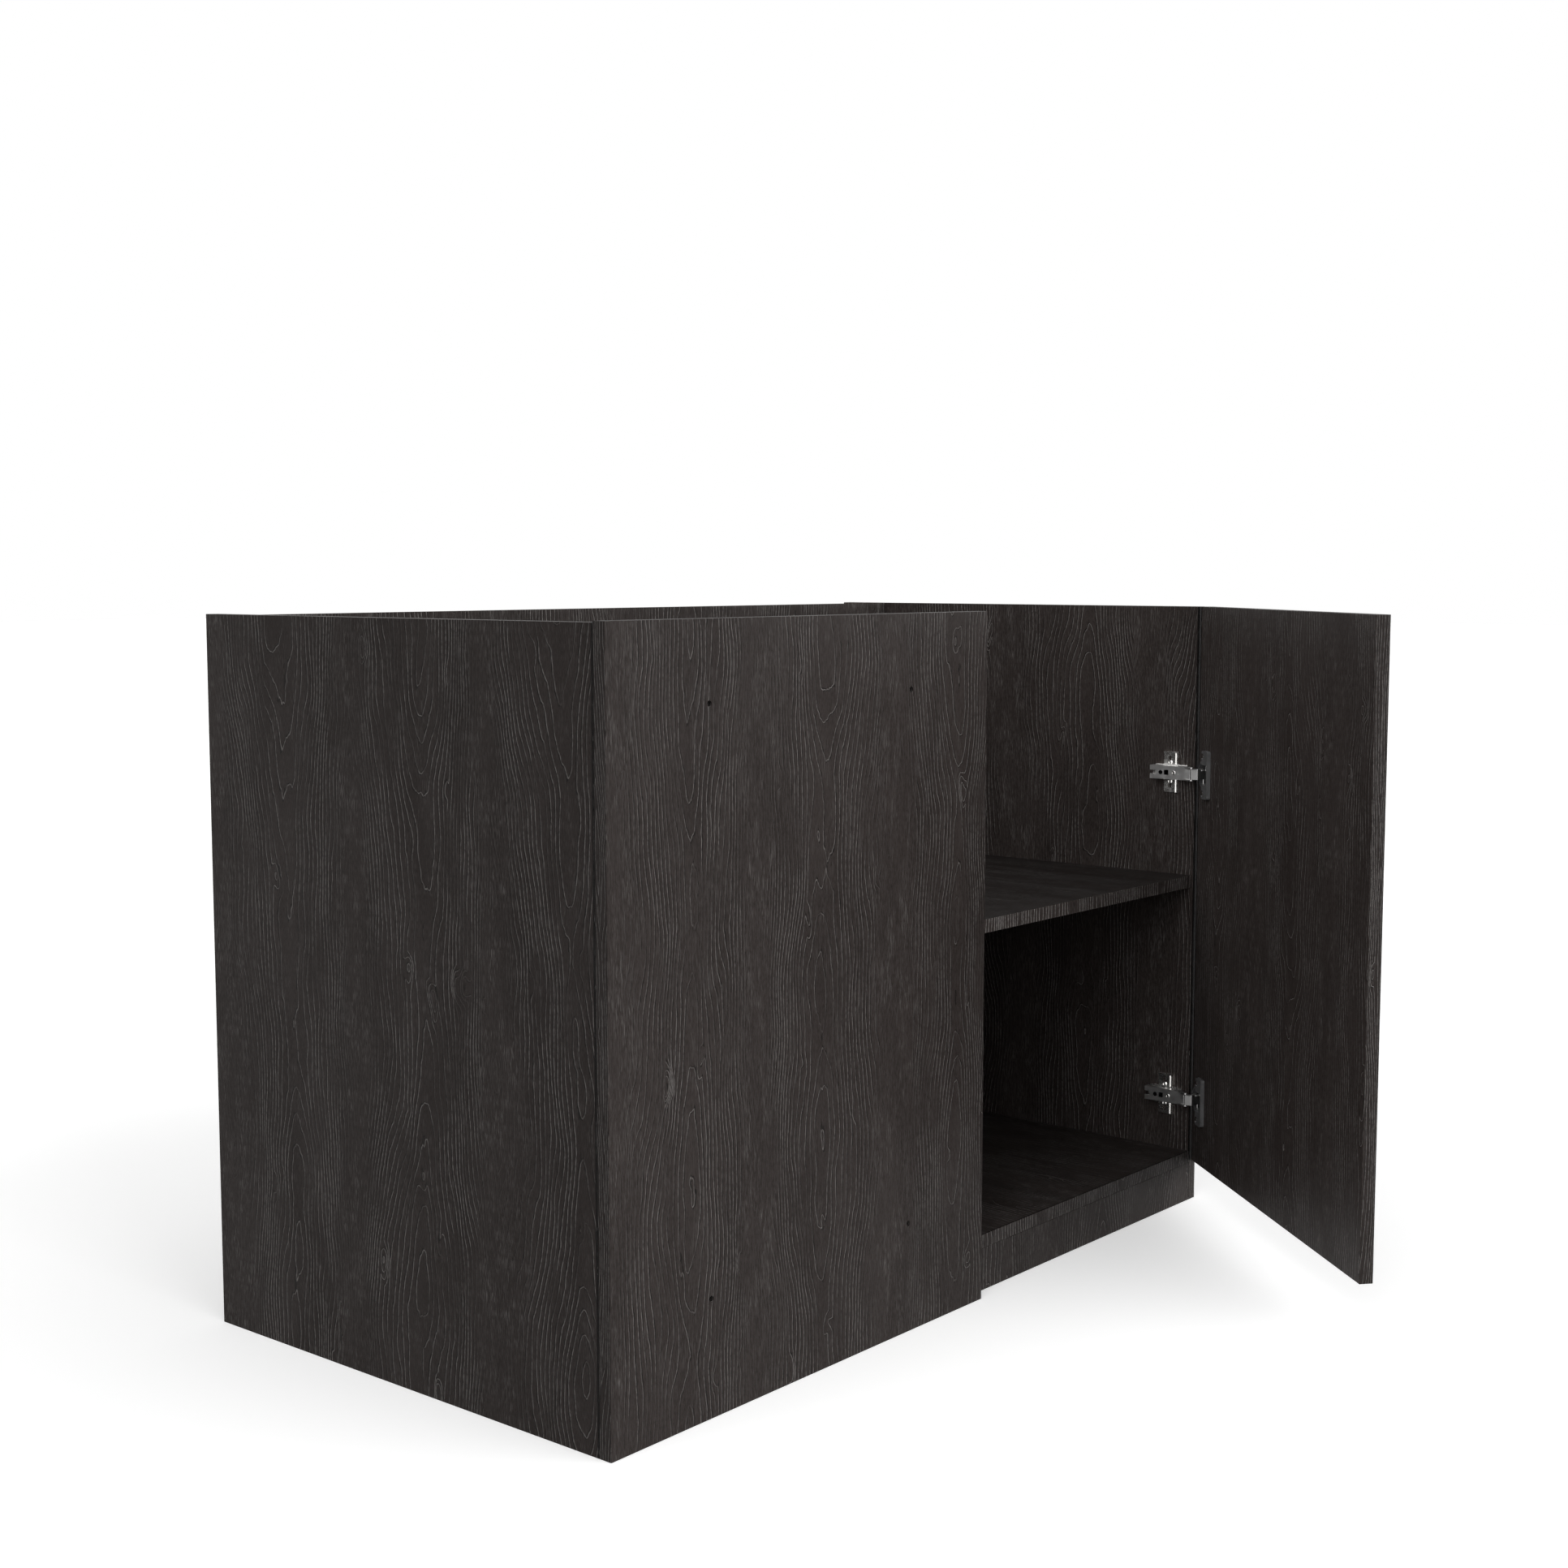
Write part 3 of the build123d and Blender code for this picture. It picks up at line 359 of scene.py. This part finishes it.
def foil_surface(t, grain, place, edge, banded, painted_shading=1.0, figure=1.0):
    """(colour, roughness, bumped normal) of the foil."""
    node = t.make("ShaderNodeGroup", node_tree=grain)
    t.put(node.inputs["Place"], place)
    t.put(node.inputs["Edge"], banded)
    line, shade, pores, cloud = (node.outputs[name] for name in ("Line", "Shade", "Pores", "Cloud"))
    strength = t.mix(banded, figure, EDGE_FIGURE)
    line, shade, pores = (t.mul(part, strength) for part in (line, shade, pores))
    across, along, seed = t.split(place)
    fibre = stretched_noise(t, across, along, seed, **FIBRE)
    body = t.add(t.ramp(cloud, *NOISE_SPREAD, *CLOUD_COLOR), t.ramp(fibre, *NOISE_SPREAD, *FIBRE_COLOR))
    color = t.mix_color(body, FOIL_DARK, FOIL_BASE)
    # Painted shade on the low side of each raised line.
    color = t.mix_color(t.least(t.mul(shade, SHADE_COLOR), SHADE_MOST), color, FOIL_SHADE)
    color = t.mix_color(t.most(t.mul(line, LINE_COLOR), t.mul(pores, PORE_COLOR)), color, FOIL_PALE)
    # Painted highlight along the board's edges, patchy like wear.
    edge_highlight_and_wear = t.mul(t.ramp(edge, *EDGE_HIGHLIGHT_AND_WEAR_REACH), t.ramp(t.noise(place, *EDGE_HIGHLIGHT_AND_WEAR_NOISE), *EDGE_HIGHLIGHT_AND_WEAR_RAMP))
    # Painted light and shade: the board's tone scales its whole colour to how brightly it is lit.
    color = t.scaled(t.mix_color(edge_highlight_and_wear, color, FOIL_EDGE_HIGHLIGHT_AND_WEAR), painted_shading)
    roughness = t.add(t.ramp(cloud, *NOISE_SPREAD, *FOIL_ROUGHNESS), t.mul(line, LINE_ROUGHNESS))
    raised = t.add(t.mul(pores, PORE_RELIEF), t.mul(fibre, FIBRE_RELIEF))
    raised = t.add(t.mul(line, LINE_RELIEF), raised)
    height = t.sub(raised, t.mul(shade, SHADE_RELIEF))
    return color, roughness, t.bump(height, FOIL_BUMP, FOIL_RELIEF)


def make_board_material(
    node,
    grain,
    order,
    turn=0.0,
    seed=0.0,
    edge_grain="along",
    painted_shading=1.0,
    front=1.0,
    inside=None,
    figure=1.0,
):
    """Tone scales the colour of the whole board, front that of the faces that look towards -Y (of
    the open door, its free edge) and inside that of its inner face; all three are painted light and
    shade, set to how brightly each board and face is lit. Figure is the strength of the lines on
    its faces."""
    material, t, output = new_material("foil_" + node)
    place, edge, banded, in_board, half = foil_coordinates(t, node, order, turn, seed, edge_grain)
    source = t.surface()
    facing = t.split(source["Normal"])[1]
    inner = t.math("GREATER_THAN", in_board[2], half[2] - FACE_DEPTH)
    # Painted light: the door's inner face is made lighter, for the light that falls on it.
    if inside is not None:
        painted_shading = t.mix(inner, painted_shading, inside)
    # Painted shade: the right side's front edge is dark only above the door's bottom, where the open
    # door shades it.
    if node == "side_panel_right":
        above = t.math("GREATER_THAN", t.split(source["Object"])[2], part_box("door")[0][2])
        front = t.mix(above, FRONT_BELOW_DOOR, front)
    # Painted light and shade: faces that look towards -Y get their own colour scale for the light on
    # them.
    if front != painted_shading:
        painted_shading = t.mix(t.math("LESS_THAN", facing, -FACING), painted_shading, front)
    # Painted shade in the seams along the carcass's front plane: dark joints widened to the shade that
    # falls in them.
    if node in SEAM_SHADED_BOARDS:
        gap = t.size(t.split(source["Object"])[1])
        seam_shade = t.ramp(gap, *(SEAM_SHADE_HALF_WIDTH * part for part in SEAM_SHADE_FADE))
        seam_shade = t.mul(seam_shade, t.math("LESS_THAN", t.size(facing), FACING))
        painted_shading = t.mix(seam_shade, painted_shading, PAINTED_SHADE_TONE)
    # Painted shade on the door's inner face beside its hinged edge, where the gap to the side panel is
    # in shadow.
    if node == "door":
        hinge_gap = t.mix(inner, half[0], t.sub(half[0], in_board[0]))
        shade = t.ramp(hinge_gap, *(HINGE_SHADE * part for part in HINGE_FADE))
        painted_shading = t.mix(shade, painted_shading, PAINTED_SHADE_TONE)
    color, roughness, normal = foil_surface(t, grain, place, edge, banded, painted_shading, figure)
    principled(
        t,
        output,
        {
            "Base Color": color,
            "Roughness": roughness,
            "Normal": normal,
            "Specular IOR Level": FOIL_SPECULAR,
        },
    )
    return material


BARE_FIBRE = ((0.085, 0.050, 0.030, 1), (0.150, 0.095, 0.058, 1))
BARE_NOISE = (420.0, 5.0, 0.7)  # scale, detail and roughness
BARE_ROUGHNESS = 0.75


def make_back_material(grain):
    """Hardboard: foil on the inside face, bare pressed fibre on the outside and the edges."""
    material, t, output = new_material("foil_back_panel")
    place, edge, banded, *_ = foil_coordinates(t, "back_panel", X_Z_Y, 0.0, BACK_SEED, "along")
    color, roughness, normal = foil_surface(t, grain, place, edge, banded)
    source = t.surface()
    inside = t.math("LESS_THAN", t.split(source["Normal"])[1], -FACING)
    fibre = t.noise(source["Object"], *BARE_NOISE)
    bare = t.mix_color(t.ramp(fibre, *NOISE_SPREAD), *BARE_FIBRE)
    principled(
        t,
        output,
        {
            "Base Color": t.mix_color(inside, bare, color),
            "Roughness": t.mix(inside, BARE_ROUGHNESS, roughness),
            "Normal": normal,
            "Specular IOR Level": FOIL_SPECULAR,
        },
    )
    return material


# ---------------------------------------------------------------- metal, plastic and wood
# A finish is its colour and the range of its roughness. A noise is (scale, detail, roughness).
BRIGHT_NICKEL = ((0.94, 0.93, 0.91), (0.22, 0.30))
# Painted shade: arm and links are the plates' nickel, darkened for the dark interior they sit in and
# reflect.
SHADED_ARM_NICKEL = ((0.54, 0.535, 0.53), (0.34, 0.42))
SHADED_LINK_NICKEL = ((0.25, 0.247, 0.244), (0.36, 0.44))
METAL_BRUSH = (900.0, 3.0, 0.6)
METAL_SMEAR = (120.0, 3.0, 0.6)
BRUSH_ROUGHNESS = (-0.02, 0.02)
METAL_PALE = 1.03
METAL_DULL = 0.95
METAL_BUMP = (0.3, 0.00002)  # strength, and relief in m
CUP_COLORS = ((0.076, 0.076, 0.077, 1), (0.100, 0.100, 0.101, 1))
CUP_ROUGHNESS = (0.34, 0.48)
CUP_GRAIN = (2600.0, 3.0, 0.6)
CUP_SMEAR = (90.0, 3.0, 0.6)
CUP_BUMP = (0.4, 0.00004)
BEECH_COLORS = ((0.42, 0.27, 0.14, 1), (0.60, 0.42, 0.25, 1))
BEECH_ROUGHNESS = 0.6
BEECH_FIBRE = (700.0, 3.0, 0.6)
BEECH_BUMP = (0.4, 0.0001)
# Painted shade in the holes of the mounting plates.
SHADE_BLACK = (0.006, 0.006, 0.006, 1)
SHADE_ROUGHNESS = 0.8
SHADE_FADE = 1.08  # of a spot's reach, where its black has faded out


def make_metal(name, color, roughness):
    material, t, output = new_material(name)
    source = t.surface()["Object"]
    brush = t.noise(source, *METAL_BRUSH)
    smear = t.noise(source, *METAL_SMEAR)
    pale = tuple(min(1.0, c * METAL_PALE) for c in color)
    dull = tuple(c * METAL_DULL for c in color)
    brushed = t.ramp(brush, *NOISE_SPREAD, *BRUSH_ROUGHNESS)
    principled(
        t,
        output,
        {
            "Base Color": t.mix_color(t.ramp(smear, *NOISE_SPREAD), (*dull, 1), (*pale, 1)),
            "Metallic": 1.0,
            "Roughness": t.add(t.ramp(smear, *NOISE_SPREAD, *roughness), brushed),
            "Normal": t.bump(brush, *METAL_BUMP),
        },
    )
    return material


def paint_hole_shade(material, spots):
    """Paints shade: blackens the metal within some millimetres of each spot, for the shade in a hole."""
    t = Tree(material.node_tree)
    shader = next(node for node in t.nodes if node.type == "BSDF_PRINCIPLED")
    source = t.surface()["Object"]
    hole_shade = 0.0
    for spot, reach in spots:
        gap = t.make("ShaderNodeVectorMath", operation="DISTANCE")
        t.put(gap.inputs[0], source)
        gap.inputs[1].default_value = spot
        hole_shade = t.most(hole_shade, t.ramp(gap.outputs["Value"], reach * SHADE_FADE, reach))
    color = shader.inputs["Base Color"].links[0].from_socket
    rough = shader.inputs["Roughness"].links[0].from_socket
    t.put(shader.inputs["Base Color"], t.mix_color(hole_shade, color, SHADE_BLACK))
    t.put(shader.inputs["Roughness"], t.mix(hole_shade, rough, SHADE_ROUGHNESS))


def make_cup_material():
    material, t, output = new_material("anthracite_cup")
    source = t.surface()["Object"]
    grain = t.noise(source, *CUP_GRAIN)
    smear = t.noise(source, *CUP_SMEAR)
    principled(
        t,
        output,
        {
            "Base Color": t.mix_color(t.ramp(smear, *NOISE_SPREAD), *CUP_COLORS),
            "Roughness": t.ramp(smear, *NOISE_SPREAD, *CUP_ROUGHNESS),
            "Normal": t.bump(grain, *CUP_BUMP),
        },
    )
    return material


def make_dowel_material():
    material, t, output = new_material("beech_dowel")
    fibre = t.noise(t.surface()["Object"], *BEECH_FIBRE)
    principled(
        t,
        output,
        {
            "Base Color": t.mix_color(t.ramp(fibre, *NOISE_SPREAD), *BEECH_COLORS),
            "Roughness": BEECH_ROUGHNESS,
            "Normal": t.bump(fibre, *BEECH_BUMP),
        },
    )
    return material


# ---------------------------------------------------------------- boards and fittings
X_Z_Y = (0, 2, 1)  # across, along and through the board, as axes of the row frame
Y_Z_X = (1, 2, 0)
X_Y_Z = (0, 1, 2)
DOOR_OPEN = math.radians(50)
HINGE_HEIGHTS = (0.138, 0.565)
HOLE_SHADE_SPOTS = ((0.536, 0.036, 0.0075), (0.527, 0.044, 0.004))  # x, y and reach of painted shade: window, rear screw
# Boards that get painted shade in their seams at the carcass's front plane.
SEAM_SHADED_BOARDS = ("side_panel_left", "side_panel_right", "blind_front_panel", "bottom_panel")
BACK_SEED = 5.7

# tone, front and inside are painted light and shade, set to how brightly each board and face is lit.
BOARDS = {
    "side_panel_left": dict(order=Y_Z_X, seed=1.0, painted_shading=0.85),
    "side_panel_right": dict(order=Y_Z_X, seed=2.3, painted_shading=1.30, front=0.14, figure=0.70),
    "blind_front_panel": dict(order=X_Z_Y, seed=3.6, painted_shading=0.75, front=1.06, figure=0.74),
    "door": dict(
        order=X_Z_Y, seed=4.9, turn=DOOR_OPEN, painted_shading=1.0, front=0.92, inside=1.56, figure=0.75
    ),
    "plinth": dict(order=X_Z_Y, seed=6.2),
    "rear_plinth": dict(order=X_Z_Y, seed=7.5),
    "rear_stretcher_top": dict(order=X_Z_Y, seed=8.8),
    "rear_stretcher_bottom": dict(order=X_Z_Y, seed=10.1),
    "shelf": dict(order=X_Y_Z, seed=11.4, edge_grain="across", painted_shading=0.45, front=1.7),
    "bottom_panel": dict(order=X_Y_Z, seed=12.7, edge_grain="across", painted_shading=1.1),
}


def dress(node, material):
    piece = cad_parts[node]
    for slot in piece.material_slots:
        slot.material = material


def dress_all():
    grain = make_grain_group(make_figure_group())
    for node, facts in BOARDS.items():
        dress(node, make_board_material(node, grain, **facts))
    dress("back_panel", make_back_material(grain))
    nickel = make_metal("bright_nickel", *BRIGHT_NICKEL)
    arm = make_metal("shaded_arm_nickel", *SHADED_ARM_NICKEL)
    # Painted shade in the plates' windows and beside their rear screws.
    paint_hole_shade(nickel, [((x, y, z), reach) for z in HINGE_HEIGHTS for x, y, reach in HOLE_SHADE_SPOTS])
    link = make_metal("shaded_link_nickel", *SHADED_LINK_NICKEL)
    cup = make_cup_material()
    dowel = make_dowel_material()
    by_slot = {"bright_steel": nickel, "arm_steel": arm, "cup_dark": cup, "dowel_wood": dowel}
    for node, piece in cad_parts.items():
        for slot in piece.material_slots:
            if slot.material and slot.material.name in by_slot:
                slot.material = by_slot[slot.material.name]
        if node.startswith("long_link"):
            dress(node, link)


# ---------------------------------------------------------------- studio
FLOOR_SIDE = 60.0  # m
FLOOR_GREY = 0.28  # what the object is lit by
FLOOR_SEEN = 0.98  # what the camera and a gloss see
FLOOR_GLOW = 0.29  # added to that for them
WORLD_LIGHT = 0.085
SUN_ACROSS = 60  # degrees
SUNS = {  # where each comes from, and watts for each square metre
    "front": ((0.10, -0.90, 0.28), 2.23),
    "right": ((0.80, -0.50, 0.28), 1.33),
    "left": ((-0.85, 0.0, 0.50), 1.2),
    "near": ((-0.70, -0.62, 0.35), 0.89),
    "top": ((0.0, 0.0, 1.0), 0.64),
}


def seen_ray(t):
    """One for rays that show the studio itself: to the camera, in a gloss or through glass."""
    rays = t.make("ShaderNodeLightPath").outputs
    return t.most(rays["Is Camera Ray"], t.most(rays["Is Glossy Ray"], rays["Is Transmission Ray"]))


def make_floor():
    mesh = bpy.data.meshes.new("studio_floor")
    r = FLOOR_SIDE / 2
    mesh.from_pydata([(-r, -r, 0), (r, -r, 0), (r, r, 0), (-r, r, 0)], [], [(0, 1, 2, 3)])
    floor = bpy.data.objects.new("studio_floor", mesh)
    bpy.context.scene.collection.objects.link(floor)
    material, t, output = new_material("studio_floor")
    seen = seen_ray(t)
    grey = t.mix(seen, FLOOR_GREY, FLOOR_SEEN)
    diffuse = t.make("ShaderNodeBsdfDiffuse", {"Color": t.vector(grey, grey, grey)})
    glow = t.make("ShaderNodeEmission", {"Strength": t.mul(seen, FLOOR_GLOW)})
    both = t.make("ShaderNodeAddShader")
    t.links.new(diffuse.outputs[0], both.inputs[0])
    t.links.new(glow.outputs[0], both.inputs[1])
    t.links.new(both.outputs[0], output.inputs[0])
    mesh.materials.append(material)


def make_world():
    world = bpy.data.worlds.new("studio")
    bpy.context.scene.world = world
    world.use_nodes = True
    t = Tree(world.node_tree)
    t.nodes.clear()
    strength = t.mix(seen_ray(t), WORLD_LIGHT, 1.0)
    background = t.make("ShaderNodeBackground", {"Color": (1, 1, 1, 1), "Strength": strength})
    output = t.make("ShaderNodeOutputWorld")
    t.links.new(background.outputs[0], output.inputs[0])


def make_suns():
    for name, (came_from, power) in SUNS.items():
        data = bpy.data.lights.new(name, "SUN")
        data.energy = power
        data.angle = math.radians(SUN_ACROSS)
        sun = bpy.data.objects.new(name, data)
        sun.rotation_euler = Vector(came_from).to_track_quat("Z", "Y").to_euler()
        bpy.context.scene.collection.objects.link(sun)


scene = bpy.context.scene
scene.view_settings.view_transform = "Standard"
make_camera()
dress_all()
make_floor()
make_world()
make_suns()
